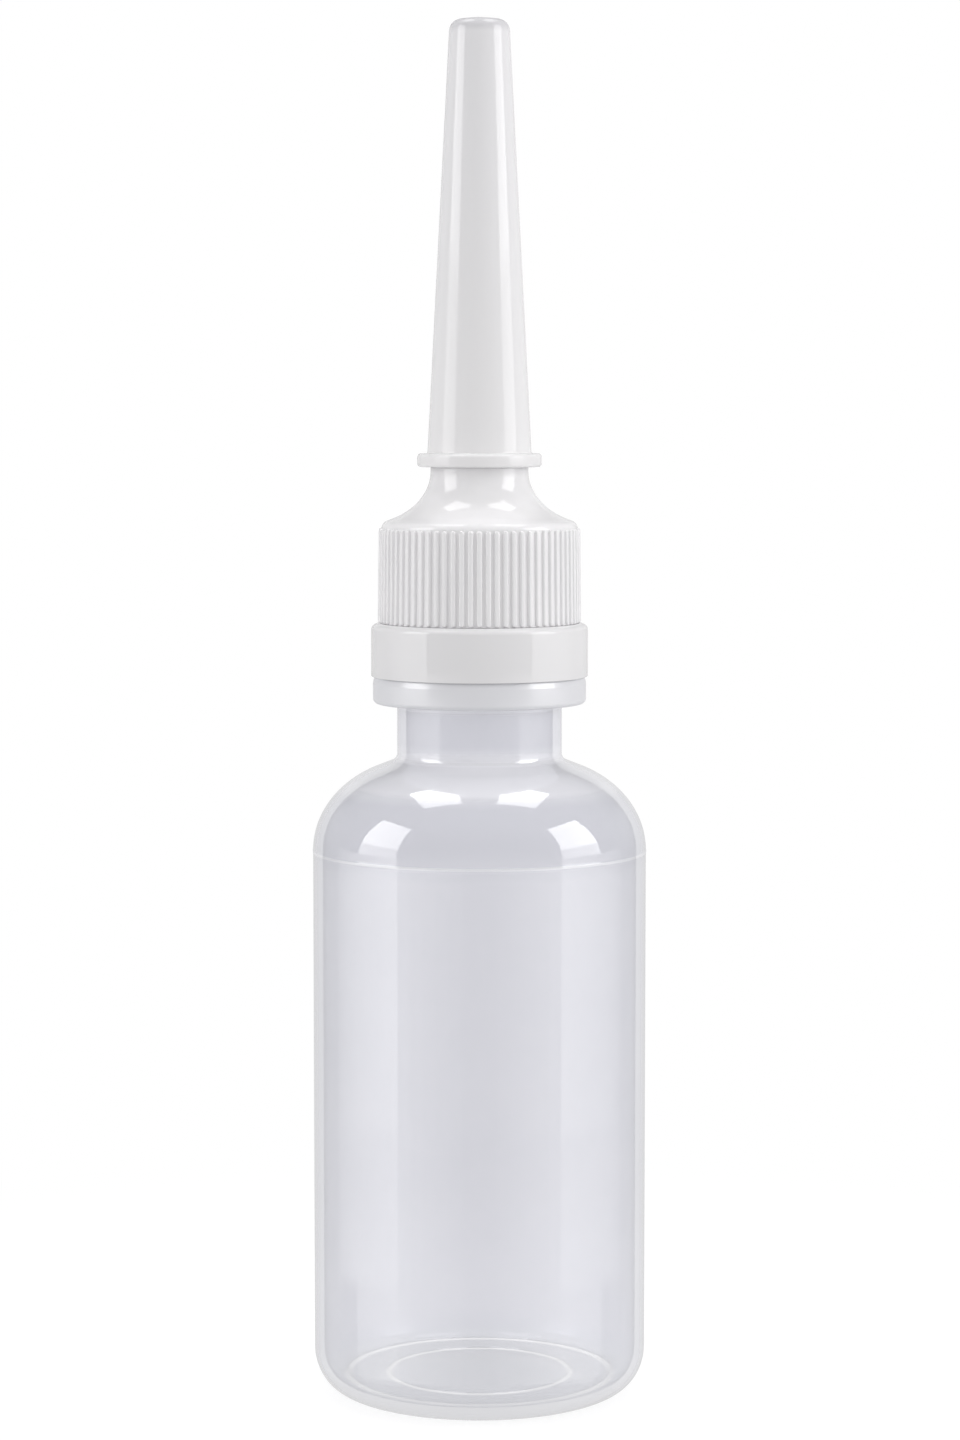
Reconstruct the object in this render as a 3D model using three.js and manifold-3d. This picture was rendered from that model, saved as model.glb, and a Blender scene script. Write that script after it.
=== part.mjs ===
// Squeeze enema bottle: a see-through polyethylene bottle with a ribbed screw cap, a tamper band,
// a rectal nozzle over a one-way flap valve, and a pull-off nozzle cover.
// Millimetres, +Z up, origin at the centre of the ring the bottle stands on.
import * as THREE from "three";
import { mergeVertices } from "three/addons/utils/BufferGeometryUtils.js";
import Module from "manifold-3d";

const wasm = await Module();
wasm.setup();

const ROUND = 48;
const GAP = 0.25;

// Bottle body
const BODY_R = 23;
const WALL = 1.2;
const CORNER_RUN = 5;
const CORNER_RISE = 6;
const PUSH_UP = 1.6;
const PUSH_UP_R = 13.1;
const FOOT_R = 15;
const SHOULDER_Z = 75.6;
const SHOULDER_RUN = 15;
const SHOULDER_RISE = 12.6;
const SHOULDER_SWEEP = 67;
const LINE_PROUD = 0.12;
const LINE_HALF = 0.5;

// Neck, support ring and thread
const NECK_R = 11.35;
const NECK_Z = 88.9;
const BORE_R = 9.5;
const RING_R = 14.68;
const RING_Z = 95.85;
const RING_TOP = 99.1;
const RING_EDGE = 0.7;
const FINISH_R = 11;
const BEAD_R = 12.4;
const BEAD_Z = 103.6;
const BEAD_RISE = 1.8;
const RIM_Z = 118;
const PITCH = 3.2;
const TURNS = 1.5;
const THREAD_Z = 110;
const NECK_THREAD_R = 11.1;
const NECK_THREAD = 0.8;
const CAP_THREAD_R = 12.25;
const CAP_THREAD = 0.7;
const THREAD_DROP = 1.45;

// Tamper band
const BAND_R = 14.92;
const BAND_Z = RING_TOP + 0.5;
const BAND_TOP = 106.95;
const BAND_IN_R = 13.2;
const BAND_EDGE = 0.7;
const CATCH_R = 11.75;
const CATCH_RISE = 2.2;

// Screw cap
const SKIRT_R = 14;
const SKIRT_TOP_R = 13.85;
const SKIRT_IN_R = 12.2;
const SKIRT_Z = BAND_TOP + 0.3;
const RIB_TOP = 119.9;
const RIBS = 72;
const RIB_DEPTH = 0.35;
const RIB_SHARE = 0.62;
const CAP_R = 13.6;
const CAP_TOP = 121.05;
const CAP_EDGE = 1;
const CEILING_Z = 119.4;
const SPIGOT_R = 6.72;
const COVE_RUN = 9;
const COVE_RISE = 7.2;
const COVE_Z = 127.8;
const LEDGE_Z = 128.1;
const PLUG_R = 6.2;
const PLUG_TOP = 133;
const SPIGOT_BORE_R = 4.9;
const POCKET_R = 8;
const POCKET_Z = 122.2;

// Nozzle cover
const COVER_Z = LEDGE_Z + GAP;
const COVER_RIM_R = 8.55;
const COVER_RIM_TOP = 130.2;
const COVER_RIM_EDGE = 0.65;
const COVER_R = 7.15;
const COVER_TIP_R = 4.15;
const COVER_TOP = 189.25;
const COVER_EDGE = 1.6;
const COVER_CROWN = 0.2;
const COVER_WALL = 0.62;
const COVER_END = 1.2;

// Nozzle
const FLANGE_R = 7.7;
const FLANGE_Z = 121.1;
const FLANGE_RISE = 0.9;
const NOZZLE_R = 4.6;
const NOZZLE_TIP_R = 2.9;
const NOZZLE_TAPER_Z = 134;
const NOZZLE_TIP_Z = 179;
const NOZZLE_TOP = 181.9;
const NOZZLE_CHAMBER_R = 3.6;
const CHAMBER_TOP = 128;
const NOZZLE_BORE_R = 1.7;
const OUTLET_R = 1.2;

// One-way valve and sealing washer
const VALVE_Z = 120.2;
const VALVE_RISE = 0.7;
const VALVE_R = 7.6;
const VALVE_HOLE_R = 3.3;
const FLAP_R = 3.1;
const SEAT_R = 7.75;
const SEAT_Z = 118.4;
const SEAT_RISE = 1.6;
const SEAT_HOLE_R = 2.6;
const WASHER_Z = RIM_Z + 0.2;
const WASHER_RISE = 1;
const WASHER_IN_R = 9.6;
const WASHER_R = 11.9;

const point = (r, z) => new THREE.Vector2(r, z);

// Points of an elliptical arc in the profile plane, angles in degrees from the outward direction.
function arc(r, z, run, rise, from, to, steps) {
  const points = [];
  for (let i = 0; i <= steps; i += 1) {
    const a = THREE.MathUtils.degToRad(from + ((to - from) * i) / steps);
    points.push(point(r + run * Math.cos(a), z + rise * Math.sin(a)));
  }
  return points;
}

// Merges shared corners and drops the triangles that shrink to nothing on the axis.
function tidy(shape) {
  shape.deleteAttribute("normal");
  shape.deleteAttribute("uv");
  const merged = mergeVertices(shape, 1e-4);
  const corners = merged.index.array;
  const kept = [];
  for (let i = 0; i < corners.length; i += 3) {
    const [a, b, c] = corners.slice(i, i + 3);
    if (a !== b && b !== c && c !== a) {
      kept.push(a, b, c);
    }
  }
  merged.setIndex(kept);
  return merged;
}

// A solid of revolution about Z from a profile of (radius, height) points.
function turned(profile, segments = ROUND) {
  const shape = new THREE.LatheGeometry(profile, segments);
  shape.rotateX(Math.PI / 2);
  return tidy(shape);
}

// A ring of revolution: the profile closes on its first point.
function turnedRing(profile) {
  return turned([...profile, profile[0].clone()]);
}

function toSolid(shape) {
  return new wasm.Manifold(new wasm.Mesh({
    numProp: 3,
    vertProperties: Float32Array.from(shape.attributes.position.array),
    triVerts: Uint32Array.from(shape.index.array),
  }));
}

function toShape(solid) {
  const mesh = solid.getMesh();
  const shape = new THREE.BufferGeometry();
  shape.setAttribute("position", new THREE.BufferAttribute(Float32Array.from(mesh.vertProperties), 3));
  shape.setIndex(new THREE.BufferAttribute(Uint32Array.from(mesh.triVerts), 1));
  return shape;
}

function joined(shapes) {
  return toShape(shapes.map(toSolid).reduce((sum, next) => sum.add(next)));
}

// The line a screw thread follows round the neck, right handed.
class ThreadLine extends THREE.Curve {
  constructor(radius, start) {
    super();
    this.radius = radius;
    this.start = start;
  }

  getPoint(t, target = new THREE.Vector3()) {
    const turn = 2 * Math.PI * TURNS * t;
    const z = this.start + PITCH * TURNS * t;
    return target.set(this.radius * Math.cos(turn), this.radius * Math.sin(turn), z);
  }
}

// A round thread ridge along that line.
function thread(radius, start, thick) {
  const section = new THREE.Shape();
  section.absarc(0, 0, thick, 0, 2 * Math.PI);
  return tidy(new THREE.ExtrudeGeometry(section, {
    steps: 36,
    curveSegments: 5,
    extrudePath: new ThreadLine(radius, start),
  }));
}

// Bottle: outside from the push-up to the rim, then inside down to the floor.
function bottle() {
  const inner = BODY_R - WALL;
  const shoulderCentre = BODY_R - SHOULDER_RUN;
  const neckFillet = arc(NECK_R + 1.3, NECK_Z, -1.3, -1.2, 0, 62, 3).reverse();
  const outside = [
    point(0, PUSH_UP + 0.3),
    point(PUSH_UP_R, PUSH_UP),
    point(FOOT_R, 0),
    ...arc(BODY_R - CORNER_RUN, CORNER_RISE, CORNER_RUN, CORNER_RISE, -90, 0, 7),
    point(BODY_R, SHOULDER_Z - 2 * LINE_HALF),
    point(BODY_R + LINE_PROUD, SHOULDER_Z - LINE_HALF),
    point(BODY_R, SHOULDER_Z),
    ...arc(shoulderCentre, SHOULDER_Z, SHOULDER_RUN, SHOULDER_RISE, 7, SHOULDER_SWEEP, 9),
    ...neckFillet,
    point(NECK_R, RING_Z),
    point(RING_R - RING_EDGE, RING_Z),
    ...arc(RING_R - RING_EDGE, RING_Z + RING_EDGE, RING_EDGE, RING_EDGE, -60, 0, 2),
    ...arc(RING_R - RING_EDGE, RING_TOP - RING_EDGE, RING_EDGE, RING_EDGE, 0, 90, 3),
    point(FINISH_R, RING_TOP),
    point(FINISH_R, BEAD_Z - 0.1),
    point(BEAD_R, BEAD_Z),
    point(BEAD_R, BEAD_Z + 0.5),
    point(FINISH_R, BEAD_Z + BEAD_RISE),
    point(FINISH_R, RIM_Z - 0.4),
    point(FINISH_R - 0.4, RIM_Z),
  ];
  const inside = [
    point(BORE_R, RIM_Z),
    point(BORE_R, NECK_Z + 0.2),
    ...arc(BORE_R + 2.2, NECK_Z + 0.2, -2.2, -2, 20, 58, 2),
    ...arc(shoulderCentre, SHOULDER_Z, SHOULDER_RUN - WALL, SHOULDER_RISE - WALL, 62, 0, 8),
    ...arc(inner - CORNER_RUN + 1, CORNER_RISE, CORNER_RUN - 1, CORNER_RISE - WALL, 0, -90, 6),
    point(FOOT_R + 0.3, WALL),
    point(PUSH_UP_R - 0.2, PUSH_UP + WALL),
    point(0, PUSH_UP + WALL + 0.3),
  ];
  const shell = turned([...outside, ...inside]);
  return joined([shell, thread(NECK_THREAD_R, THREAD_Z, NECK_THREAD)]);
}

// Tamper band: a smooth ring with a catch inside its foot that hooks under the neck bead.
function tamperBand() {
  return turnedRing([
    ...arc(BAND_R - BAND_EDGE, BAND_Z + BAND_EDGE, BAND_EDGE, BAND_EDGE, -90, 0, 3),
    ...arc(BAND_R - BAND_EDGE, BAND_TOP - BAND_EDGE, BAND_EDGE, BAND_EDGE, 0, 90, 3),
    point(BAND_IN_R, BAND_TOP),
    point(BAND_IN_R, BAND_Z + CATCH_RISE + 0.9),
    point(CATCH_R, BAND_Z + CATCH_RISE),
    point(CATCH_R, BAND_Z + 0.9),
    point(CATCH_R + 0.9, BAND_Z),
  ]);
}

// Ribbed skirt: a ring whose outside is a row of ribs, drawn in slightly towards the top.
function ribbedSkirt() {
  const outline = new THREE.Shape();
  const step = (2 * Math.PI) / RIBS;
  for (let i = 0; i < RIBS; i += 1) {
    const half = (step * RIB_SHARE) / 2;
    const corners = [
      [SKIRT_R - RIB_DEPTH, -half],
      [SKIRT_R, -half * 0.55],
      [SKIRT_R, half * 0.55],
      [SKIRT_R - RIB_DEPTH, half],
    ];
    corners.forEach(([r, turn], n) => {
      const x = r * Math.cos(i * step + turn);
      const y = r * Math.sin(i * step + turn);
      if (i === 0 && n === 0) {
        outline.moveTo(x, y);
      } else {
        outline.lineTo(x, y);
      }
    });
  }
  const hole = new THREE.Path();
  hole.absarc(0, 0, SKIRT_IN_R, 0, 2 * Math.PI);
  outline.holes.push(hole);
  const shape = new THREE.ExtrudeGeometry(outline, {
    depth: RIB_TOP - SKIRT_Z,
    bevelEnabled: false,
    curveSegments: ROUND / 2,
  });
  const place = shape.attributes.position;
  const draft = (SKIRT_R - SKIRT_TOP_R) / (RIB_TOP - SKIRT_Z);
  for (let i = 0; i < place.count; i += 1) {
    const x = place.getX(i);
    const y = place.getY(i);
    const r = Math.hypot(x, y);
    const drawn = r > SKIRT_R - 2 * RIB_DEPTH ? (r - draft * place.getZ(i)) / r : 1;
    place.setXY(i, x * drawn, y * drawn);
  }
  shape.translate(0, 0, SKIRT_Z);
  return tidy(shape);
}

// Screw cap: skirt, coved top with spigot and plug, and the thread inside.
function screwCap() {
  const top = turnedRing([
    point(SKIRT_IN_R, CEILING_Z),
    point(CAP_R - 0.2, CEILING_Z),
    point(CAP_R, RIB_TOP - 0.1),
    ...arc(CAP_R - CAP_EDGE, CAP_TOP - CAP_EDGE, CAP_EDGE, CAP_EDGE, 12, 65, 3),
    ...arc(SPIGOT_R + COVE_RUN, COVE_Z, -COVE_RUN, -COVE_RISE, 67, 0, 9),
    point(SPIGOT_R, LEDGE_Z),
    point(PLUG_R, LEDGE_Z),
    point(PLUG_R - 0.1, PLUG_TOP - 0.3),
    point(PLUG_R - 0.4, PLUG_TOP),
    point(SPIGOT_BORE_R, PLUG_TOP),
    point(SPIGOT_BORE_R, POCKET_Z),
    point(POCKET_R, POCKET_Z),
    point(POCKET_R, CEILING_Z),
  ]);
  const ridge = thread(CAP_THREAD_R, THREAD_Z - THREAD_DROP, CAP_THREAD);
  return joined([ribbedSkirt(), top, ridge]);
}

// Nozzle cover: a tapered tube closed at its tip, with a round rim at its foot.
function nozzleCover() {
  const taperZ = COVER_TOP - COVER_EDGE - COVER_CROWN;
  const taper = (COVER_R - COVER_TIP_R) / (taperZ - COVER_RIM_TOP);
  const innerR = (z) => COVER_R - COVER_WALL - taper * (z - COVER_RIM_TOP);
  const innerTop = COVER_TOP - COVER_END;
  return turned([
    ...arc(COVER_RIM_R - COVER_RIM_EDGE, COVER_Z + COVER_RIM_EDGE, COVER_RIM_EDGE, COVER_RIM_EDGE, -90, 0, 3),
    ...arc(COVER_RIM_R - COVER_RIM_EDGE, COVER_RIM_TOP - COVER_RIM_EDGE, COVER_RIM_EDGE, COVER_RIM_EDGE, 0, 90, 3),
    point(COVER_R, COVER_RIM_TOP),
    ...arc(COVER_TIP_R - COVER_EDGE, taperZ, COVER_EDGE, COVER_EDGE, 0, 84, 5),
    point(0, COVER_TOP),
    point(0, innerTop),
    point(innerR(innerTop) - 1, innerTop),
    point(innerR(innerTop - 1), innerTop - 1),
    point(innerR(COVER_RIM_TOP), COVER_RIM_TOP),
    point(innerR(COVER_RIM_TOP), COVER_Z),
    point(COVER_RIM_R - COVER_RIM_EDGE, COVER_Z),
  ]);
}

// Nozzle: a tapered tube with a foot flange held in the cap and a small round-edged outlet.
function nozzle() {
  return turnedRing([
    point(NOZZLE_CHAMBER_R, FLANGE_Z),
    point(FLANGE_R, FLANGE_Z),
    point(FLANGE_R, FLANGE_Z + FLANGE_RISE),
    point(NOZZLE_R, FLANGE_Z + FLANGE_RISE),
    point(NOZZLE_R, NOZZLE_TAPER_Z),
    ...arc(OUTLET_R + 0.1, NOZZLE_TIP_Z, NOZZLE_TIP_R - OUTLET_R - 0.1, NOZZLE_TOP - NOZZLE_TIP_Z, 0, 90, 6),
    point(OUTLET_R, NOZZLE_TOP - 0.2),
    point(OUTLET_R, NOZZLE_TIP_Z),
    point(NOZZLE_BORE_R, NOZZLE_TIP_Z - 1.5),
    point(NOZZLE_BORE_R, NOZZLE_TAPER_Z),
    point(NOZZLE_CHAMBER_R, CHAMBER_TOP),
  ]);
}

// A flat washer, or a plain disc where the hole is nothing.
function washer(outer, hole, z, rise) {
  if (hole === 0) {
    return turned([point(0, z), point(outer, z), point(outer, z + rise), point(0, z + rise)]);
  }
  return turnedRing([point(hole, z), point(outer, z), point(outer, z + rise), point(hole, z + rise)]);
}

const part = new THREE.Group();
part.name = "enema_bottle";

function add(name, shape, color, roughness) {
  const mesh = new THREE.Mesh(shape, new THREE.MeshStandardMaterial({ color, roughness, metalness: 0 }));
  mesh.name = name;
  part.add(mesh);
}

add("bottle", bottle(), 0xd6d8df, 0.3);
add("tamper_band", tamperBand(), 0xeeeef0, 0.35);
add("screw_cap", screwCap(), 0xeeeef0, 0.35);
add("nozzle_cover", nozzleCover(), 0xe8e8ea, 0.35);
add("nozzle", nozzle(), 0xf2f1ee, 0.4);
add("valve_washer", washer(VALVE_R, VALVE_HOLE_R, VALVE_Z, VALVE_RISE), 0xd9dde0, 0.55);
add("valve_flap", washer(FLAP_R, 0, VALVE_Z, VALVE_RISE), 0xd9dde0, 0.55);
add("valve_seat", washer(SEAT_R, SEAT_HOLE_R, SEAT_Z, SEAT_RISE), 0xeceae6, 0.45);
add("sealing_washer", washer(WASHER_R, WASHER_IN_R, WASHER_Z, WASHER_RISE), 0xf4f3ee, 0.7);

export default part;
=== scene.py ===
import math

import bmesh
import bpy
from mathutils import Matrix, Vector


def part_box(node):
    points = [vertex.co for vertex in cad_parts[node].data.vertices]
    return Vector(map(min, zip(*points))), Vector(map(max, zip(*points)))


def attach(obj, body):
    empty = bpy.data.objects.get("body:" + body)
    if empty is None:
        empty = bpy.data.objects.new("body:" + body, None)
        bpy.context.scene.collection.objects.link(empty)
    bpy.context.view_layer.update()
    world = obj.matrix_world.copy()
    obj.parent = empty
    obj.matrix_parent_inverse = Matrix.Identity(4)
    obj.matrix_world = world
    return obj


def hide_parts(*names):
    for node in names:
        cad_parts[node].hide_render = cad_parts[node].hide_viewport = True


bl_info = {
    "name": "Squeeze enema bottle",
    "version": (1, 0, 0),
    "blender": (4, 5, 0),
    "location": "View3D > Sidebar > Bottle",
    "description": "Builds a squeeze enema bottle with its cap, tamper band, nozzle, valve and cover",
    "category": "Object",
}

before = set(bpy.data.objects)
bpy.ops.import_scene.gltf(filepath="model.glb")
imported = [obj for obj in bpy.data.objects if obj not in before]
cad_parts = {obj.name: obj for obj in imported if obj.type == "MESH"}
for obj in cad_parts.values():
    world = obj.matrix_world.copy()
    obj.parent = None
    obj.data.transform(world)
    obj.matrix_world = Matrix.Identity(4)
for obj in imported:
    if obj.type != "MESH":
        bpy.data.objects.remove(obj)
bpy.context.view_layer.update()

MM = 0.001
BOTTLE_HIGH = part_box("bottle")[1]
BAND_LOW, BAND_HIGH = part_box("tamper_band")
CAP_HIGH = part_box("screw_cap")[1]
COVER_LOW, COVER_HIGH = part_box("nozzle_cover")
NOZZLE_LOW, NOZZLE_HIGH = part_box("nozzle")
VALVE_LOW, VALVE_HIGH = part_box("valve_washer")
FLAP_LOW, FLAP_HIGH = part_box("valve_flap")
SEAT_LOW, SEAT_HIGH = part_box("valve_seat")
WASHER_LOW, WASHER_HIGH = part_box("sealing_washer")

BODY_R = 23.0 * MM
# The moulded line lies this far below the foot of the dome.
LINE_DROP = 0.15 * MM
# Faces round the axis of each piece
BOTTLE_SIDES, CAP_SIDES, COVER_SIDES, SMALL_SIDES = 160, 144, 128, 96
# Edges that turn by more than this stay crisp.
CRISP_TURN = math.radians(38)

WHITE = (1, 1, 1, 1)
# Refractive indices of the plastics, and of the bottle's polished skin, which mirrors more than they do
POLYETHYLENE_IOR, POLYPROPYLENE_IOR, SOFT_IOR, SKIN_IOR = 1.51, 1.49, 1.45, 1.8


# Shared helpers

def linear(code):
    """An sRGB hex colour as linear red, green, blue and full alpha."""
    values = [int(code[i:i + 2], 16) / 255 for i in (1, 3, 5)]
    return tuple(v / 12.92 if v <= 0.04045 else ((v + 0.055) / 1.055) ** 2.4 for v in values) + (1.0,)


def length(name, description, default):
    return bpy.props.FloatProperty(name=name, description=description, default=default, unit="LENGTH",
                                   precision=5, min=0.0)


def number(name, description, default):
    return bpy.props.FloatProperty(name=name, description=description, default=default)


def colour(name, description, code):
    return bpy.props.FloatVectorProperty(name=name, description=description, default=linear(code), size=4,
                                         subtype="COLOR", min=0.0, max=1.0)


def arc(r, z, run, rise, start, end, steps):
    """Points of an elliptical arc in the profile plane, angles in degrees from the outward direction."""
    turns = [math.radians(start + (end - start) * i / steps) for i in range(steps + 1)]
    return [(r + run * math.cos(a), z + rise * math.sin(a)) for a in turns]


def rounded(corners, steps=4):
    """Profile points in which each corner given as (r, z, radius) becomes a small arc."""
    points = []
    for i, corner in enumerate(corners):
        here = Vector(corner[:2])
        if len(corner) < 3 or i in (0, len(corners) - 1):
            points.append(tuple(here))
            continue
        back = (Vector(corners[i - 1][:2]) - here).normalized()
        ahead = (Vector(corners[i + 1][:2]) - here).normalized()
        half = back.angle(ahead) / 2
        middle = here + (back + ahead).normalized() * corner[2] / math.sin(half)
        reach = corner[2] / math.tan(half)
        first = here + back * reach - middle
        last = here + ahead * reach - middle
        for k in range(steps + 1):
            spoke = first.normalized().slerp(last.normalized(), k / steps)
            points.append(tuple(middle + spoke * corner[2]))
    return points


def thread_relief(sizes, start, half, depth, way=1):
    """How far a thread with tapered ends stands out, or in where way is -1, at an angle and a height."""
    run_out, crown = 0.05, 0.7

    def relief(angle, z):
        height = 0.0
        for turn in range(math.ceil(sizes.turns)):
            along = angle / (2 * math.pi) + turn
            if along <= sizes.turns:
                rise = (z - start - sizes.pitch * along) / half
                ends = min(1.0, along / run_out, (sizes.turns - along) / run_out)
                height = max(height, depth * ends * max(0.0, 1 - rise * rise) ** crown)
        return way * height

    return relief


def revolve(name, bands):
    """A closed mesh turned about Z. Each band is (profile points, sides, relief), and relief gives how far
    the surface stands out at an angle and a height. A fourth value is the number of the band's material
    slot."""
    bm = bmesh.new()
    rings = []
    slots = []
    for points, sides, relief, *slot in bands:
        for r, z in points:
            slots.append(slot[0] if slot else 0)
            if r < 1e-7:
                rings.append([bm.verts.new((0, 0, z))])
                continue
            ring = []
            for k in range(sides):
                a = 2 * math.pi * k / sides
                out = r + (relief(a, z) if relief else 0.0)
                ring.append(bm.verts.new((out * math.cos(a), out * math.sin(a), z)))
            rings.append(ring)
    pairs = list(zip(rings, rings[1:], slots[1:]))
    if len(rings[0]) > 1:
        pairs.append((rings[-1], rings[0], slots[0]))
    for one, two, slot in pairs:
        few, many = sorted((one, two), key=len)
        if len(many) == 1:
            continue
        share = len(many) // len(few)
        for k in range(len(many) if len(few) == 1 else len(few)):
            if len(few) == 1:
                corners = (few[0], many[k], many[(k + 1) % len(many)])
            else:
                edge = [many[(k * share + j) % len(many)] for j in range(share + 1)]
                corners = [few[(k + 1) % len(few)], few[k]] + edge
            bm.faces.new(corners).material_index = slot
    bmesh.ops.recalc_face_normals(bm, faces=bm.faces)
    mesh = bpy.data.meshes.new(name)
    bm.to_mesh(mesh)
    bm.free()
    mesh.shade_smooth()
    mesh.set_sharp_from_angle(angle=CRISP_TURN)
    made = bpy.data.objects.new(name, mesh)
    bpy.context.scene.collection.objects.link(made)
    return made


def place(made, material, body, node):
    """Gives a piece its material, the body it moves with and the solid that it stands for."""
    made.data.materials.append(material)
    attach(made, body)
    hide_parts(node)


def add_node(tree, kind, settings=None, inputs=None):
    """Adds a shader node, sets its settings, and sets or links its inputs. A node given as an input is linked
    by its first output."""
    made = tree.nodes.new(kind)
    for name, value in (settings or {}).items():
        setattr(made, name, value)
    for name, value in (inputs or {}).items():
        if isinstance(value, bpy.types.Node):
            value = value.outputs[0]
        if isinstance(value, bpy.types.NodeSocket):
            tree.links.new(value, made.inputs[name])
        else:
            made.inputs[name].default_value = value
    return made


def new_material(name):
    """A material with an empty node tree, and the place on the piece for its patterns."""
    material = bpy.data.materials.new(name)
    material.use_nodes = True
    tree = material.node_tree
    tree.nodes.clear()
    return material, tree, add_node(tree, "ShaderNodeTexCoord").outputs["Object"]


# Sizes and colours

class BottleSizes(bpy.types.PropertyGroup):
    """Sizes of the blow-moulded bottle"""
    body_r: length("Body radius", "Outside of the round wall", BODY_R)
    wall: length("Wall", "Thickness of the wall", 1.35 * MM)
    base_wall: length("Base wall", "Thickness of the base", 2.0 * MM)
    shoulder_wall: length("Shoulder wall", "Thickness of the dome near the neck", 1.7 * MM)
    corner_run: length("Base corner run", "How far the base edge curves in", 5.0 * MM)
    corner_rise: length("Base corner rise", "How far the base edge curves up", 6.0 * MM)
    floor_ring_r: length("Floor ring radius", "Low ridge round the inside of the base", 18.3 * MM)
    small_ring_r: length("Small ring radius", "Second ridge inside the base", 12.6 * MM)
    push_up: length("Push-up", "Height of the raised base", 0.9 * MM)
    push_up_r: length("Push-up radius", "Radius of the raised base", 13.1 * MM)
    foot_r: length("Foot radius", "Inside of the ring that the bottle stands on", 15.0 * MM)
    shoulder_z: length("Shoulder height", "Where the dome meets the wall", 75.6 * MM)
    shoulder_run: length("Shoulder run", "Width of the dome's curve", 15.0 * MM)
    shoulder_rise: length("Shoulder rise", "Height of the dome's curve", 12.6 * MM)
    line: length("Moulded line", "How far the line below the dome stands out", 0.5 * (BOTTLE_HIGH.x - BODY_R))
    neck_r: length("Neck radius", "Outside of the plain neck", 11.35 * MM)
    neck_z: length("Neck height", "Where the neck leaves the dome", 88.9 * MM)
    bore_r: length("Neck bore", "Inside of the neck", 10.1 * MM)
    ring_r: length("Support ring radius", "Outside of the ring under the band", 14.68 * MM)
    ring_z: length("Support ring underside", "Height of the ring's flat underside", 95.85 * MM)
    ring_top: length("Support ring top", "Height of the ring's top", 99.1 * MM)
    finish_r: length("Thread root", "Outside of the neck between the threads", 11.0 * MM)


class CapSizes(bpy.types.PropertyGroup):
    """Sizes of the screw cap, the tamper band, the nozzle cover and the thread"""
    pitch: length("Thread pitch", "Rise of the thread in one turn", 3.2 * MM)
    turns: number("Thread turns", "Turns of the thread", 1.5)
    rib_count: bpy.props.IntProperty(name="Ribs", description="Grip ribs round the skirt", default=72, min=12)
    play: length("Play", "Gap that shows between the cap, the band, the bottle and the cover", 0.02 * MM)
    rib_depth: length("Rib height", "How far the ribs stand out of the skirt", 0.34 * MM)
    rib_half: length("Rib half width", "Half of the width of one rib", 0.36 * MM)
    skirt_in_r: length("Skirt inside", "Inside of the skirt between the threads", 12.2 * MM)
    top_r: length("Cap top radius", "Outside of the smooth edge above the ribs", 13.6 * MM)
    spigot_r: length("Spigot radius", "Outside of the spigot under the cover", 6.72 * MM)
    band_in_r: length("Band inside", "Inside of the tamper band", 13.2 * MM)
    band_edge: length("Band edge", "Rounding of the band's edges", 0.7 * MM)
    cover_wall: length("Cover wall", "Thickness of the nozzle cover", 0.62 * MM)
    cover_tip_r: length("Cover tip", "Outside of the cover at its rounded end", 4.15 * MM)


class Finishes(bpy.types.PropertyGroup):
    """Colours of the plastics"""
    natural: colour("Natural polyethylene", "Light that the bottle's wall scatters", "#E4E4EA")
    # Random duller streaks, and the same colour on the dome as painted shade
    haze_and_dome_shade: colour("Natural haze", "Duller streaks in the bottle, and its dome", "#D8D9E0")
    clear: colour("Clear polyethylene", "Light that goes straight through plastic", "#F0F0F4")
    far_wall: colour("Far wall", "Light that the inside of the far wall lets through", "#EDEDF1")
    # Painted shade: the far wall of the dome is dimmed further, and the neck's with it
    far_dome_shade: colour("Far dome", "Light that the inside of the dome lets through", "#E0E0E5")
    far_floor: colour("Far floor", "Light that the inside of the base lets through", "#E9EAEE")
    milky: colour("Milky polyethylene", "Support ring", "#DEDEE2")
    milky_base: colour("Milky base edge", "Thick plastic round the base", "#DCDCE3")
    # Thick plastic at the neck's root, painted paler as a painted reflection of the neck in the dome
    milky_root_reflection: colour("Milky root", "Thick plastic where the neck leaves the dome", "#EFEFF4")
    # The raised moulded line and two thin lines near the neck, painted paler as painted highlights; the one
    # under the support ring is painted light where the ring's shade falls
    moulded_line_and_highlights: colour("Moulded line", "Raised line below the dome", "#EEEEF2")
    white: colour("White polypropylene", "Screw cap", "#ECEBEC")
    white_dim: colour("White, dimmer", "Slight unevenness of the cap's white", "#E9E8EA")
    band: colour("Band white", "Tamper band", "#E4E3E4")
    band_dim: colour("Band white, dimmer", "Slight unevenness of the band's white", "#E1E0E2")
    cover_foot: colour("Cover foot", "Nozzle cover near its rim", "#E9E8E9")
    cover_tip: colour("Cover tip", "Nozzle cover near its end", "#E4E3E5")
    # Painted shade on the closed end of the cover, against the overhead light
    cover_end_shade: colour("Cover end", "Closed end of the nozzle cover", "#D2D1D4")
    nozzle: colour("Nozzle", "Soft polyethylene nozzle", "#EFEDE8")
    silicone: colour("Silicone", "One-way valve", "#DDE1E4")
    foam: colour("Foam", "Sealing washer", "#F1EFE9")


class StageSettings(bpy.types.PropertyGroup):
    """Camera and lamps"""
    distance: length("Camera distance", "From the bottle's axis", 522.5 * MM)
    height: length("Camera height", "Above the floor", 137.75 * MM)
    tilt: bpy.props.FloatProperty(name="Camera tilt", description="Downward tilt of the camera",
                                  default=math.radians(4.843), subtype="ANGLE")
    lens: number("Lens", "Focal length in millimetres", 95.0)
    ambient: number("Ambient light", "Even light from all sides", 0.75)
    room_front: number("Mirrored room", "Reflected level of the room in front", 0.15)
    room_back: number("Mirrored backdrop", "Reflected level of the backdrop and floor", 0.7)


# Materials

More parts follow.
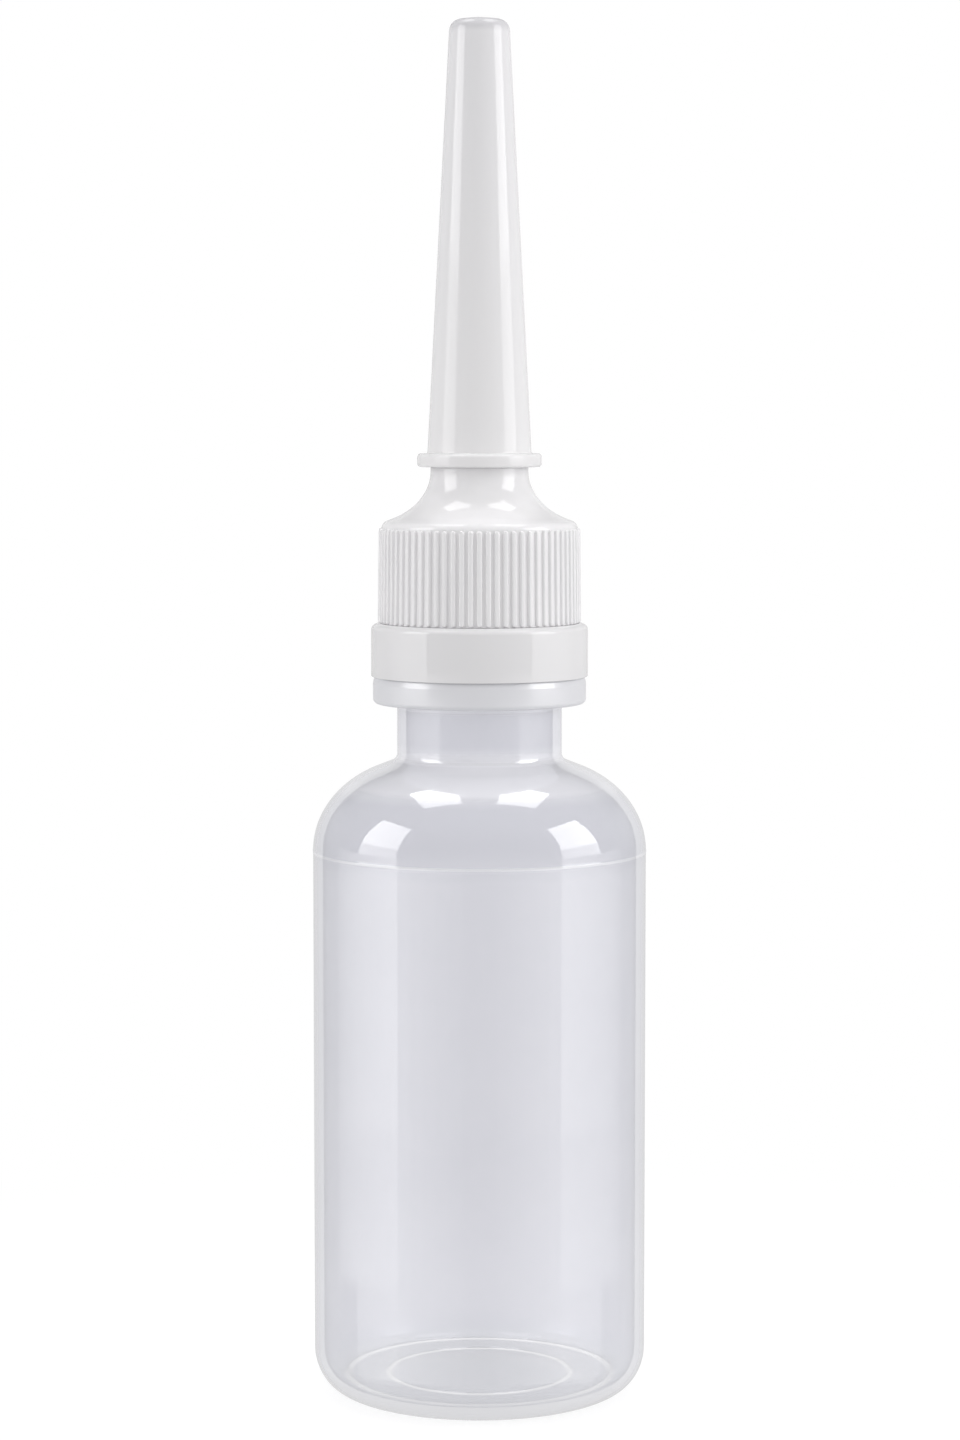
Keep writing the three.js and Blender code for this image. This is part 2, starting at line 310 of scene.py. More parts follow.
def near(tree, value, middle, half):
    """A soft mask that is 1 where a value meets the middle and falls to 0 at half a width away."""
    apart = add_node(tree, "ShaderNodeMath", {"operation": "SUBTRACT"}, {0: value, 1: middle})
    size = add_node(tree, "ShaderNodeMath", {"operation": "ABSOLUTE"}, {0: apart})
    mask = add_node(tree, "ShaderNodeMapRange", {"interpolation_type": "SMOOTHSTEP"},
                    {"Value": size, "From Min": half, "From Max": half / 2})
    return mask


def see_through(tree, shader, opacity, tint):
    """Ends a material that shows what is behind it, except for the share that its opacity takes."""
    behind = add_node(tree, "ShaderNodeBsdfTransparent", inputs={"Color": tint})
    both = add_node(tree, "ShaderNodeMixShader", inputs={"Fac": opacity, 1: behind, 2: shader})
    add_node(tree, "ShaderNodeOutputMaterial", inputs={"Surface": both})


def natural_polyethylene(finish, sizes):
    """Natural low-density polyethylene, blow moulded: a glossy see-through wall that scatters part of the
    light and so looks faintly grey, and paler at its edges, where the eye looks along the wall. Where the
    plastic is thick, in the support ring, the neck's root and the base, it is milkier; the neck's root is
    also painted paler, a painted reflection of the neck in the dome. The dome takes a duller colour as
    painted shade, and the raised moulded line and two thin lines near the neck are painted paler as painted
    highlights. Light is scattered on the way into the wall only, so a wall counts once."""
    streak_size, grain_size = 9 * MM, 3 * MM
    # Widths of the pale lines, which are painted highlights
    fine_line, under_ring_light = 0.24 * MM, 0.4 * MM
    gloss_from, gloss_to, ring_dullness = 0.03, 0.07, 0.3
    wave_strength, wave_height = 0.12, 0.05 * MM
    neck_polish, polish_half = 0.15, 1 * MM
    # Shares of the light that are scattered, seen squarely and along the wall, where the plastic is thick,
    # and on the pale lines; at the neck's root the share also shows a painted reflection
    square_share, along_share, along_power = 0.38, 0.9, 1.6
    base_share, root_reflection_share, line_highlight_share = 0.66, 0.7, 0.62
    clear_from = 3 * MM

    material, tree, spot = new_material("natural_polyethylene")
    height = add_node(tree, "ShaderNodeSeparateXYZ", inputs={"Vector": spot}).outputs["Z"]
    ring = near(tree, height, (sizes.ring_z + sizes.ring_top) / 2, sizes.ring_top - sizes.ring_z)
    # Painted reflection: the neck's root, where the plastic is thick, is painted paler for the neck mirrored
    # in the dome.
    root = near(tree, height, sizes.neck_z - 2 * MM, 4 * MM)
    base = near(tree, height, 0.0, sizes.corner_rise)
    # Painted shade: the dome takes the duller haze colour.
    dome = near(tree, height, sizes.shoulder_z + 4 * MM, 8 * MM)
    # Painted highlights: the moulded line, a line at the neck's root and one just under the support ring,
    # where the ring's shade falls, are painted paler.
    line = near(tree, height, sizes.shoulder_z - LINE_DROP, fine_line)
    for other in (near(tree, height, sizes.neck_z - 0.5 * MM, fine_line),
                  near(tree, height, sizes.ring_z - 0.25 * MM, under_ring_light)):
        line = add_node(tree, "ShaderNodeMath", {"operation": "MAXIMUM"}, {0: line, 1: other})

    streaks = add_node(tree, "ShaderNodeTexNoise",
                       inputs={"Vector": spot, "Scale": 1 / streak_size, "Detail": 2.0})
    haze = add_node(tree, "ShaderNodeMath", {"operation": "MAXIMUM"}, {0: streaks, 1: dome})
    tint = finish.natural
    for mask, other in ((haze, finish.haze_and_dome_shade), (ring, finish.milky), (base, finish.milky_base),
                        (root, finish.milky_root_reflection), (line, finish.moulded_line_and_highlights)):
        tint = add_node(tree, "ShaderNodeMixRGB", inputs={"Fac": mask, "Color1": tint, "Color2": other})
    grain = add_node(tree, "ShaderNodeTexNoise",
                     inputs={"Vector": spot, "Scale": 1 / grain_size, "Detail": 3.0})
    gloss = add_node(tree, "ShaderNodeMapRange",
                     inputs={"Value": grain, "To Min": gloss_from, "To Max": gloss_to})
    dull = add_node(tree, "ShaderNodeMapRange",
                    inputs={"Value": ring, "To Min": gloss, "To Max": ring_dullness})
    waves = add_node(tree, "ShaderNodeBump",
                     inputs={"Height": streaks, "Strength": wave_strength, "Distance": wave_height})
    polish = add_node(tree, "ShaderNodeMapRange",
                      inputs={"Value": height, "From Min": sizes.neck_z - polish_half,
                              "From Max": sizes.neck_z + polish_half, "To Min": 1.0, "To Max": neck_polish})
    surface = add_node(tree, "ShaderNodeBsdfPrincipled",
                       inputs={"Base Color": tint, "Roughness": dull, "Normal": waves, "Coat Weight": polish,
                               "IOR": POLYETHYLENE_IOR, "Coat Roughness": gloss_from, "Coat IOR": SKIN_IOR})

    slant = add_node(tree, "ShaderNodeLayerWeight", inputs={"Blend": 0.5}).outputs["Facing"]
    along = add_node(tree, "ShaderNodeMath", {"operation": "POWER"}, {0: slant, 1: along_power})
    share = add_node(tree, "ShaderNodeMapRange",
                     inputs={"Value": along, "To Min": square_share, "To Max": along_share})
    for mask, most in ((base, base_share), (root, root_reflection_share), (ring, 1.0)):
        thick = add_node(tree, "ShaderNodeMapRange", inputs={"Value": mask, "To Max": most})
        share = add_node(tree, "ShaderNodeMath", {"operation": "MAXIMUM"}, {0: share, 1: thick})
    lined = add_node(tree, "ShaderNodeMapRange",
                     inputs={"Value": line, "To Min": share, "To Max": line_highlight_share})
    inward = add_node(tree, "ShaderNodeNewGeometry").outputs["Backfacing"]
    opacity = add_node(tree, "ShaderNodeMapRange", inputs={"Value": inward, "To Min": lined, "To Max": 0.0})
    above = add_node(tree, "ShaderNodeMapRange",
                     inputs={"Value": height, "From Max": clear_from, "To Max": inward})
    clear = add_node(tree, "ShaderNodeMixRGB", inputs={"Fac": above, "Color1": WHITE, "Color2": finish.clear})
    see_through(tree, surface, opacity, clear)
    return material


def natural_polyethylene_inside(finish, sizes):
    """The bottle's inner skin, formed by blown air: it dims what is behind the far wall, with a gloss that is
    weak when seen squarely and strong along the surface. The dome and the neck dim more, which is painted
    shade on the dome. Ridges in the base dim less and show as pale lines, a painted highlight."""
    wide_half, small_half, grain_size = 0.75 * MM, 0.6 * MM, 3 * MM
    gloss_from, gloss_to, dullness = 0.04, 0.08, 0.4
    # The floor of the bottle mirrors clearly, and its wall above it softly.
    floor_top, wall_from = 2.7 * MM, 3.4 * MM

    material, tree, spot = new_material("natural_polyethylene_inside")
    at = add_node(tree, "ShaderNodeSeparateXYZ", inputs={"Vector": spot}).outputs
    level = add_node(tree, "ShaderNodeCombineXYZ", inputs={"X": at["X"], "Y": at["Y"]})
    radius = add_node(tree, "ShaderNodeVectorMath", {"operation": "LENGTH"}, {0: level}).outputs["Value"]
    low = near(tree, at["Z"], 0.0, sizes.corner_rise)
    ridges = add_node(tree, "ShaderNodeMath", {"operation": "MAXIMUM"},
                      {0: near(tree, radius, sizes.floor_ring_r, wide_half), 1: near(tree, radius,
                       sizes.small_ring_r, small_half)})
    raised = add_node(tree, "ShaderNodeMath", {"operation": "MULTIPLY"}, {0: ridges, 1: low})
    # Painted shade: the dome is dimmed further by the far dome colour, and the neck with it.
    dome = near(tree, at["Z"], sizes.shoulder_z + 2 * MM, 8 * MM)
    neck = add_node(tree, "ShaderNodeMapRange",
                    inputs={"Value": at["Z"], "From Min": sizes.neck_z - 2 * MM, "From Max": sizes.neck_z})
    thick = add_node(tree, "ShaderNodeMath", {"operation": "MAXIMUM"}, {0: dome, 1: neck})
    inward = add_node(tree, "ShaderNodeNewGeometry").outputs["Backfacing"]
    tint = finish.far_wall
    # The ridges in the base are left undimmed, a painted highlight that shows them as pale lines.
    for mask, other in ((thick, finish.far_dome_shade), (low, finish.far_floor), (raised, WHITE),
                        (inward, WHITE)):
        tint = add_node(tree, "ShaderNodeMixRGB", inputs={"Fac": mask, "Color1": tint, "Color2": other})
    grain = add_node(tree, "ShaderNodeTexNoise",
                     inputs={"Vector": spot, "Scale": 1 / grain_size, "Detail": 3.0})
    fine = add_node(tree, "ShaderNodeMapRange",
                    inputs={"Value": grain, "To Min": gloss_from, "To Max": gloss_to})
    rough = add_node(tree, "ShaderNodeMapRange",
                     inputs={"Value": at["Z"], "From Min": floor_top, "From Max": wall_from, "To Min": fine,
                             "To Max": dullness})
    gloss = add_node(tree, "ShaderNodeBsdfGlossy", inputs={"Roughness": rough})
    sheen = add_node(tree, "ShaderNodeFresnel", inputs={"IOR": POLYETHYLENE_IOR})
    opacity = add_node(tree, "ShaderNodeMapRange", inputs={"Value": inward, "To Min": sheen, "To Max": 0.0})
    see_through(tree, gloss, opacity, tint)
    return material


def moulded(tree, grain, tint, gloss, bump, others):
    """Ends a solid plastic. Its grain varies the roughness between the two of gloss, and lifts the surface by
    bump, a strength and a height."""
    rough = add_node(tree, "ShaderNodeMapRange",
                     inputs={"Value": grain, "To Min": gloss[0], "To Max": gloss[1]})
    lift = add_node(tree, "ShaderNodeBump",
                    inputs={"Height": grain, "Strength": bump[0], "Distance": bump[1]})
    surface = add_node(tree, "ShaderNodeBsdfPrincipled",
                       inputs={"Base Color": tint, "Roughness": rough, "Normal": lift, **others})
    add_node(tree, "ShaderNodeOutputMaterial", inputs={"Surface": surface})


def white_polypropylene(white, dim):
    """White polypropylene, injection moulded in a polished mould: a dense white, glossy enough to mirror the
    lamps with clear edges, with a faint grain."""
    cloud_size, grain_size, mirrored = 6 * MM, 0.6 * MM, 0.35
    gloss, bump = (0.015, 0.035), (0.04, 0.02 * MM)

    material, tree, spot = new_material("white_polypropylene")
    clouds = add_node(tree, "ShaderNodeTexNoise",
                      inputs={"Vector": spot, "Scale": 1 / cloud_size, "Detail": 3.0})
    tint = add_node(tree, "ShaderNodeMixRGB", inputs={"Fac": clouds, "Color1": white, "Color2": dim})
    grain = add_node(tree, "ShaderNodeTexNoise",
                     inputs={"Vector": spot, "Scale": 1 / grain_size, "Detail": 3.0})
    moulded(tree, grain, tint, gloss, bump, {"IOR": POLYPROPYLENE_IOR, "Specular IOR Level": mirrored})
    return material


def cover_polyethylene(finish):
    """White low-density polyethylene, thin and injection moulded: a little greyer towards the tip, where the
    wall is in front of a hollow, darker at its closed end as painted shade, and glossy from a polished mould."""
    end_shade_height, grain_size, mirrored = 2.2 * MM, 0.8 * MM, 0.25
    gloss, bump = (0.03, 0.06), (0.04, 0.02 * MM)
    spread, spread_reach = 0.3, 0.5 * MM

    material, tree, spot = new_material("cover_polyethylene")
    height = add_node(tree, "ShaderNodeSeparateXYZ", inputs={"Vector": spot}).outputs["Z"]
    along = add_node(tree, "ShaderNodeMapRange",
                     inputs={"Value": height, "From Min": COVER_LOW.z, "From Max": COVER_HIGH.z})
    # Painted shade: the closed end is drawn darker, against the overhead light.
    closed = near(tree, height, COVER_HIGH.z, end_shade_height)
    tint = finish.cover_foot
    for mask, other in ((along, finish.cover_tip), (closed, finish.cover_end_shade)):
        tint = add_node(tree, "ShaderNodeMixRGB", inputs={"Fac": mask, "Color1": tint, "Color2": other})
    grain = add_node(tree, "ShaderNodeTexNoise",
                     inputs={"Vector": spot, "Scale": 1 / grain_size, "Detail": 3.0})
    moulded(tree, grain, tint, gloss, bump,
            {"IOR": POLYETHYLENE_IOR, "Specular IOR Level": mirrored, "Subsurface Weight": spread,
             "Subsurface Radius": (1.0, 1.0, 1.0), "Subsurface Scale": spread_reach})
    return material


def soft_plastic(name, tint, grain_size, rough, grain_height, clear=0.0):
    """A moulded soft plastic: an even colour with fine clouds, a grain of the given size and a dull gloss."""
    cloud_share, rough_swing, grain_strength = 0.06, 0.06, 0.3
    spread, spread_reach = 0.2, 0.5 * MM

    material, tree, spot = new_material(name)
    grain = add_node(tree, "ShaderNodeTexNoise",
                     inputs={"Vector": spot, "Scale": 1 / grain_size, "Detail": 4.0})
    shade = add_node(tree, "ShaderNodeMixRGB", {"blend_type": "MULTIPLY"},
                     {"Fac": cloud_share, "Color1": tint, "Color2": grain.outputs["Color"]})
    moulded(tree, grain, shade, (rough - rough_swing, rough + rough_swing), (grain_strength, grain_height),
            {"IOR": SOFT_IOR, "Transmission Weight": clear, "Subsurface Weight": spread,
             "Subsurface Scale": spread_reach})
    return material


# Pieces. Profile corners are written as (radius, height, rounding).

class MakeBottle(bpy.types.Operator):
    """Blow-moulded bottle with dome, neck, support ring, bead and thread"""
    bl_idname = "enema_bottle.make_bottle"
    bl_label = "Bottle"

    def execute(self, context):
        s = context.scene.enema_bottle
        c = context.scene.enema_cap
        finish = context.scene.enema_finish
        outside, line_zone, upper, screw = self.outside(s, c)
        thread = thread_relief(c, 110 * MM, 0.85 * MM, 0.9 * MM)
        line_half = 0.28 * MM

        def line(angle, z):
            return s.line * math.exp(-((z - s.shoulder_z + LINE_DROP) / line_half) ** 2)

        made = revolve("bottle_shell", [(outside, BOTTLE_SIDES, None), (line_zone, BOTTLE_SIDES, line),
                                        (upper, BOTTLE_SIDES, None), (screw, BOTTLE_SIDES, thread),
                                        (self.inside(s), BOTTLE_SIDES, None, 1)])
        place(made, natural_polyethylene(finish, s), "bottle", "bottle")
        made.data.materials.append(natural_polyethylene_inside(finish, s))
        return {"FINISHED"}

    def outside(self, s, c):
        """Profiles from the middle of the base to the top of the thread"""
        dome_r = s.body_r - s.shoulder_run
        bead_z, bead_r = 103.6 * MM, 12.4 * MM
        thread_low, thread_high = 108.8 * MM, 116.0 * MM
        line_low, line_step = s.shoulder_z - 2.1 * MM, 0.1 * MM
        root_run, root_rise = 1.4 * MM, 1.25 * MM
        under_band, lip_r = BAND_LOW.z - c.play, s.ring_r - 1.3 * MM

        foot = rounded([(0, s.push_up + 0.2 * MM), (s.push_up_r - 1.5 * MM, s.push_up, 6 * MM),
                        (s.foot_r, 0, 3 * MM), (s.body_r - s.corner_run - 0.1 * MM, 0)], 10)
        corner = arc(s.body_r - s.corner_run, s.corner_rise, s.corner_run, s.corner_rise, -90, 0, 20)
        wall_high = line_low - line_step - s.corner_rise
        wall = [(s.body_r, s.corner_rise + wall_high * i / 12) for i in range(1, 13)]
        line_zone = [(s.body_r, line_low + line_step * i) for i in range(21)]
        line_zone += arc(dome_r, s.shoulder_z, s.shoulder_run, s.shoulder_rise, 0, 5, 11)
        dome = arc(dome_r, s.shoulder_z, s.shoulder_run, s.shoulder_rise, 6, 66, 30)
        root = arc(s.neck_r + root_run, s.neck_z + 0.1 * MM, -root_run, -root_rise, 60, 0, 8)
        ring = rounded([(s.neck_r, s.ring_z - 2 * MM), (s.neck_r, s.ring_z, 0.35 * MM),
                        (s.ring_r, s.ring_z, 0.7 * MM), (s.ring_r, s.ring_top - 0.4 * MM, 0.3 * MM),
                        (s.ring_r - 0.2 * MM, under_band, 0.04 * MM), (lip_r, under_band, 0.1 * MM),
                        (lip_r - 0.1 * MM, s.ring_top, 0.1 * MM), (s.finish_r, s.ring_top, 0.4 * MM),
                        (s.finish_r, bead_z, 0.3 * MM), (bead_r, bead_z, 0.25 * MM),
                        (bead_r, bead_z + 0.5 * MM, 0.25 * MM), (s.finish_r, bead_z + 1.8 * MM, 0.3 * MM),
                        (s.finish_r, thread_low - 0.3 * MM)], 6)
        screw = [(s.finish_r, thread_low + (thread_high - thread_low) * i / 44) for i in range(45)]
        return foot + corner + wall, line_zone, dome + root + ring, screw

    def inside(self, s):
        """Profile from the mouth down to the middle of the inner floor, which has two low ridges"""
        rim, inner_r = BOTTLE_HIGH.z, s.body_r - s.wall
        dome_r, floor_r = s.body_r - s.shoulder_run, s.floor_ring_r + 0.9 * MM
        thread_end, throat_run, throat_rise = 116.3 * MM, 3.2 * MM, 2.8 * MM
        ridges = ((s.floor_ring_r, 0.5 * MM, 0.32 * MM), (s.small_ring_r, 0.35 * MM, 0.3 * MM))

        mouth = rounded([(s.finish_r, thread_end), (s.finish_r, rim, 0.4 * MM), (s.bore_r, rim, 0.4 * MM),
                         (s.bore_r, rim - 3 * MM)], 5)
        throat = arc(s.bore_r + throat_run, s.neck_z, -throat_run, -throat_rise, 0, 68, 12)
        hollow = arc(dome_r, s.shoulder_z, s.shoulder_run - s.wall, s.shoulder_rise - s.shoulder_wall,
                     66, 0, 28)
        wall = [(inner_r, s.shoulder_z - (s.shoulder_z - s.corner_rise) * i / 8) for i in range(1, 8)]
        corner = arc(floor_r, s.corner_rise, inner_r - floor_r, s.corner_rise - s.base_wall, 0, -90, 16)
        floor = []
        for k in range(1, 111):
            r = floor_r * (1 - k / 110)
            raised = sum(high * math.exp(-((r - at) / half) ** 2) for at, high, half in ridges)
            floor.append((r, s.base_wall + raised))
        return mouth + throat + hollow + wall + corner + floor


class MakeTamperBand(bpy.types.Operator):
    """Tamper-evident band with its inner catch"""
    bl_idname = "enema_bottle.make_tamper_band"
    bl_label = "Tamper band"

    def execute(self, context):
        c = context.scene.enema_cap
        finish = context.scene.enema_finish
        low, high, outer = BAND_LOW.z, BAND_HIGH.z, BAND_HIGH.x
        middle, catch_r = (low + high) / 2, 11.75 * MM
        profile = rounded([(outer, middle), (outer, high - 0.45 * MM, c.band_edge),
                           (CAP_HIGH.x, high, 0.2 * MM), (c.band_in_r, high, 0.25 * MM),
                           (c.band_in_r, low + 3.1 * MM, 0.4 * MM),
                           (catch_r, low + 2.2 * MM, 0.3 * MM), (catch_r, low + 0.9 * MM, 0.3 * MM),
                           (catch_r + 0.9 * MM, low, 0.3 * MM), (outer, low, 0.15 * c.band_edge),
                           (outer, middle - 0.5 * MM)], 6)
        made = revolve("tamper_band_ring", [(profile, CAP_SIDES, None)])
        place(made, white_polypropylene(finish.band, finish.band_dim), "band", "tamper_band")
        return {"FINISHED"}


class MakeScrewCap(bpy.types.Operator):
    """Screw cap: round-ended grip ribs, coved top, spigot, plug for the cover and the thread inside"""
    bl_idname = "enema_bottle.make_screw_cap"
    bl_label = "Screw cap"

    def execute(self, context):
        c = context.scene.enema_cap
        finish = context.scene.enema_finish
        low, high = BAND_HIGH.z + c.play, CAP_HIGH.z
        foot_r = CAP_HIGH.x - c.rib_depth
        rib_gap, skirt_taper, rib_sides = 0.42 * MM, 0.15 * MM, 24
        rib_low, rib_high = low + rib_gap, 119.6 * MM
        corner, ceiling, ledge = 120.62 * MM, 119.4 * MM, COVER_LOW.z - c.play
        cove_z, cove_run, cove_rise = 127.8 * MM, 9 * MM, 7.2 * MM
        plug_r, bore_r = 6.2 * MM, 4.9 * MM
        pocket_r, pocket_z = 8.0 * MM, 122.2 * MM
        thread_top, thread_span = 114.5 * MM, 6.7 * MM
        step = 2 * math.pi / c.rib_count

        def ribs(angle, z):
            aside = (angle / step - round(angle / step)) * step * foot_r
            beyond = max(0.0, rib_low - z, z - rib_high)
            away = math.hypot(aside, beyond) / c.rib_half
            return c.rib_depth * math.sqrt(max(0.0, 1 - away ** 4))

        def skirt(z):
            return foot_r - skirt_taper * (z - low) / (rib_high - low)

        edges = [k / 5 * c.rib_half for k in range(6)]
        levels = sorted({rib_low - e for e in edges} | {rib_high + e for e in edges})
        levels += [rib_low + (rib_high - rib_low) * k / 8 for k in range(1, 8)]
        grip = [(skirt(z), z) for z in sorted(levels)]
        hem = rounded([(c.skirt_in_r, low + 0.5 * MM), (c.skirt_in_r, low, 0.2 * MM),
                       (foot_r, low, 0.04 * MM), (foot_r, low + 0.06 * MM)], 3)
        cove = arc(c.spigot_r + cove_run, cove_z, -cove_run, -cove_rise, 64, 0, 26)
        crown = rounded([(skirt(rib_high), rib_high + rib_gap), (c.top_r, corner, 1.1 * MM), cove[0]], 8)[:-1]
        plug = rounded([(c.spigot_r, cove_z + 0.1 * MM), (c.spigot_r, ledge, 0.12 * MM),
                        (plug_r, ledge, 0.1 * MM), (plug_r - 0.1 * MM, high, 0.3 * MM),
                        (bore_r, high, 0.2 * MM), (bore_r, pocket_z, 0.2 * MM),
                        (pocket_r, pocket_z, 0.2 * MM), (pocket_r, ceiling, 0.2 * MM),
                        (c.skirt_in_r, ceiling, 0.4 * MM), (c.skirt_in_r, thread_top + 0.3 * MM)], 4)
        screw = [(c.skirt_in_r, thread_top - thread_span * i / 42) for i in range(43)]
        thread = thread_relief(c, 108.55 * MM, 0.7 * MM, 0.65 * MM, way=-1)
        made = revolve("screw_cap_body", [(hem, CAP_SIDES, None), (grip, c.rib_count * rib_sides, ribs),
                                          (crown + cove + plug, CAP_SIDES, None), (screw, CAP_SIDES, thread)])
        place(made, white_polypropylene(finish.white, finish.white_dim), "cap", "screw_cap")
        return {"FINISHED"}


class MakeNozzleCover(bpy.types.Operator):
    """Thin tapered cover with a closed rounded end and a round rim at its foot"""
    bl_idname = "enema_bottle.make_nozzle_cover"
    bl_label = "Nozzle cover"

    def execute(self, context):
        c = context.scene.enema_cap
        low, high, rim_r = COVER_LOW.z, COVER_HIGH.z, COVER_HIGH.x
        rim_top, foot_r = 130.2 * MM, 7.15 * MM
        shoulder, inner_top = high - 1.8 * MM, high - 1.2 * MM
        tip_round = 1.6 * MM
        taper = (foot_r - c.cover_tip_r) / (shoulder - rim_top)

        def outside(z):
            return foot_r - taper * (z - rim_top)

        mouth_r = foot_r - c.cover_wall
        rim = rounded([(mouth_r + 0.6 * MM, low), (rim_r, low, 0.45 * MM), (rim_r, rim_top, 0.5 * MM),
                       (foot_r, rim_top, 0.2 * MM), (outside(rim_top + 2 * MM), rim_top + 2 * MM)], 7)
        side = [(outside(z), z) for z in [rim_top + (shoulder - rim_top) * k / 24 for k in range(2, 24)]]
        tip = arc(c.cover_tip_r - tip_round, shoulder, tip_round, tip_round, 0, 84, 10)
        crown = [(1.2 * MM, high - 0.03 * MM), (0, high)]
        hollow = rounded([(0, inner_top), (outside(inner_top) - c.cover_wall, inner_top, 1.0 * MM),
                          (mouth_r, rim_top, 0.3 * MM), (mouth_r, low, 0.15 * MM),
                          (mouth_r + 0.5 * MM, low)], 5)
        made = revolve("nozzle_cover_shell", [(rim + side + tip + crown + hollow, COVER_SIDES, None)])
        place(made, cover_polyethylene(context.scene.enema_finish), "cover", "nozzle_cover")
        return {"FINISHED"}


class MakeNozzle(bpy.types.Operator):
    """Tapered nozzle with a foot flange, a bore and a round-edged outlet"""
    bl_idname = "enema_bottle.make_nozzle"
    bl_label = "Nozzle"

    def execute(self, context):
        low, high, flange_r = NOZZLE_LOW.z, NOZZLE_HIGH.z, NOZZLE_HIGH.x
        flange_top, shank_r, shank_top = low + 0.9 * MM, 4.6 * MM, 134 * MM
        tip_run, tip_rise, tip_r = 1.6 * MM, 2.9 * MM, 2.9 * MM
        tip_z = high - tip_rise
        inlet_r, inlet_z, bore_r, outlet_r = 3.6 * MM, 127.5 * MM, 1.7 * MM, 1.2 * MM
        body = rounded([(inlet_r, inlet_z), (inlet_r, low, 0.2 * MM), (flange_r, low, 0.2 * MM),
                        (flange_r, flange_top, 0.2 * MM), (shank_r, flange_top, 0.25 * MM),
                        (shank_r, shank_top, 6 * MM), (tip_r, tip_z)], 6)
        tip = arc(tip_r - tip_run, tip_z, tip_run, tip_rise, 6, 90, 12)
        bore = rounded([(outlet_r + 0.02 * MM, high - 0.15 * MM), (outlet_r, tip_z, 0.4 * MM),
                        (bore_r, tip_z - 1.5 * MM, 0.4 * MM), (bore_r, shank_top, 2 * MM),
                        (inlet_r, inlet_z + 0.5 * MM, 0.4 * MM), (inlet_r, inlet_z + 0.1 * MM)], 4)
        made = revolve("nozzle_tube", [(body + tip + bore, SMALL_SIDES, None)])
        soft = soft_plastic("nozzle_polyethylene", context.scene.enema_finish.nozzle, grain_size=0.9 * MM,
                            rough=0.32, grain_height=0.02 * MM)
        place(made, soft, "cap", "nozzle")
        return {"FINISHED"}


class MakeValve(bpy.types.Operator):
    """One-way valve: clamped rim, swinging flap and seat ring"""
    bl_idname = "enema_bottle.make_valve"
    bl_label = "One-way valve"

    def execute(self, context):
        finish = context.scene.enema_finish
        groove = 0.12 * MM
        silicone = soft_plastic("milky_silicone", finish.silicone, grain_size=0.7 * MM, rough=0.45,
                                grain_height=0.02 * MM, clear=0.25)
        low, high, edge = VALVE_LOW.z, VALVE_HIGH.z, VALVE_HIGH.x
        hole, groove_z = 3.3 * MM, high - 0.15 * MM
        made = revolve("valve_rim", [(rounded([
            (hole + 1 * MM, low), (edge, low, 0.2 * MM), (edge, high, 0.2 * MM), (5.6 * MM, high, 0.2 * MM),
            (5.4 * MM, groove_z, 0.1 * MM), (4.9 * MM, groove_z, 0.1 * MM), (4.7 * MM, high, 0.1 * MM),
            (hole, high, 0.08 * MM), (hole, low, 0.08 * MM), (hole + 0.9 * MM, low)], 4), SMALL_SIDES, None)])
        place(made, silicone, "cap", "valve_washer")

        low, high, edge = FLAP_LOW.z, FLAP_HIGH.z, FLAP_HIGH.x
        made = revolve("valve_flap_disc", [(rounded([
            (0, low), (edge, low, 0.12 * MM), (edge, high, 0.12 * MM), (1.9 * MM, high, 0.2 * MM),
            (1.5 * MM, high - groove, 0.2 * MM), (0, high - groove)], 4), SMALL_SIDES, None)])
        place(made, silicone, "flap", "valve_flap")

        low, high, edge = SEAT_LOW.z, SEAT_HIGH.z, SEAT_HIGH.x
        hole = 2.6 * MM
        made = revolve("valve_seat_ring", [(rounded([
            (4 * MM, low), (edge, low, 0.3 * MM), (edge, high, 0.15 * MM), (4.2 * MM, high, 0.1 * MM),
            (4.0 * MM, high - groove, 0.05 * MM), (3.2 * MM, high - groove, 0.05 * MM),
            (3.05 * MM, high, 0.05 * MM), (hole, high, 0.1 * MM), (hole, low, 0.4 * MM),
            (hole + 1.3 * MM, low)], 4), SMALL_SIDES, None)])
        seat = soft_plastic("seat_polypropylene", finish.white, grain_size=0.8 * MM, rough=0.35,
                            grain_height=0.02 * MM)
        place(made, seat, "cap", "valve_seat")
        return {"FINISHED"}


class MakeSealingWasher(bpy.types.Operator):
    """Foam sealing washer between the bottle's rim and the cap"""
    bl_idname = "enema_bottle.make_sealing_washer"
    bl_label = "Sealing washer"

    def execute(self, context):
        low, high, outer = WASHER_LOW.z, WASHER_HIGH.z, WASHER_HIGH.x
        inner, edge = 9.6 * MM, 0.15 * MM
        made = revolve("sealing_washer_ring", [(rounded([
            (inner + 1 * MM, low), (outer, low, edge), (outer, high, edge), (inner, high, edge),
            (inner, low, edge), (inner + 0.9 * MM, low)], 4), SMALL_SIDES, None)])
        foam = soft_plastic("polyethylene_foam", context.scene.enema_finish.foam, grain_size=0.35 * MM,
                            rough=0.7, grain_height=0.06 * MM)
        place(made, foam, "washer", "sealing_washer")
        return {"FINISHED"}


# Stage

# Each side with the gains of its lamps: light, shine of those that give light, and shine of the rest
SIDES = ((-1, "left", 1.4, 0.95, 0.95), (1, "right", 2.2, 1.05, 0.8))


